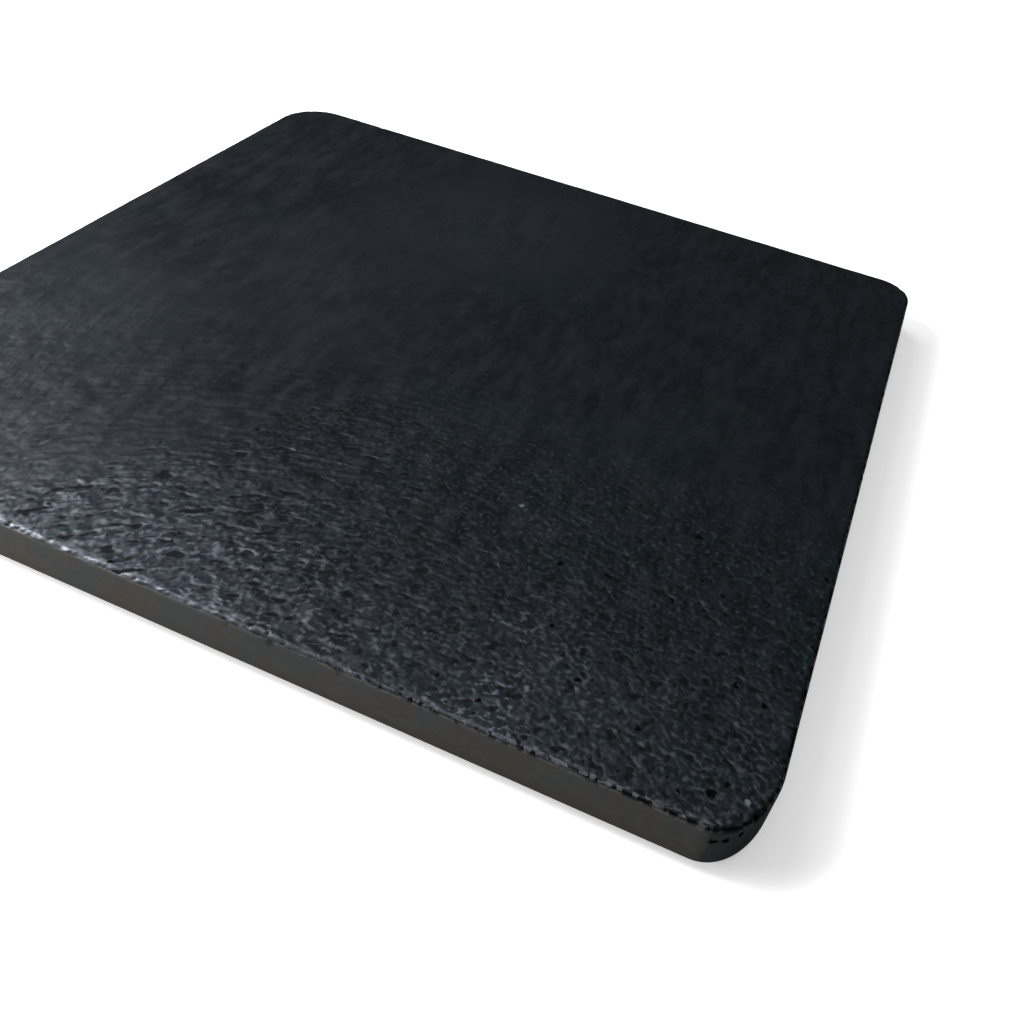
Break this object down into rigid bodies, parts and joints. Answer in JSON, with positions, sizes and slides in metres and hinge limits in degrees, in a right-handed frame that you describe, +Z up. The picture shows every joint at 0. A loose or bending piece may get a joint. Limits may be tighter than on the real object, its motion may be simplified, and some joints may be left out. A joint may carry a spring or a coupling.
{
  "type": "granite tooling slab",
  "caption": "Heavy square black granite slab with a brushed working face, honed sides and rounded corners on rubber feet, a hard dead base for tooling, stamping and punching leather.",
  "frame": {"origin": "middle of the plan, on the surface that the feet stand on", "axes": "+X to the right along the front edge, +Y to the back edge, +Z up through the thickness, out of the working face"},
  "size_m": [0.3048, 0.3048, 0.0178],
  "materials": {
    "granite": "blue-black granite, brushed and sealed top face with a soft sheen, honed grey sides, sawn underside",
    "foot_rubber": "matt black moulded rubber"
  },
  "bodies": {
    "root": {"granite_slab": "granite", "foot_front_left": "foot_rubber", "foot_front_right": "foot_rubber", "foot_back_left": "foot_rubber", "foot_back_right": "foot_rubber"}
  },
  "joints": []
}
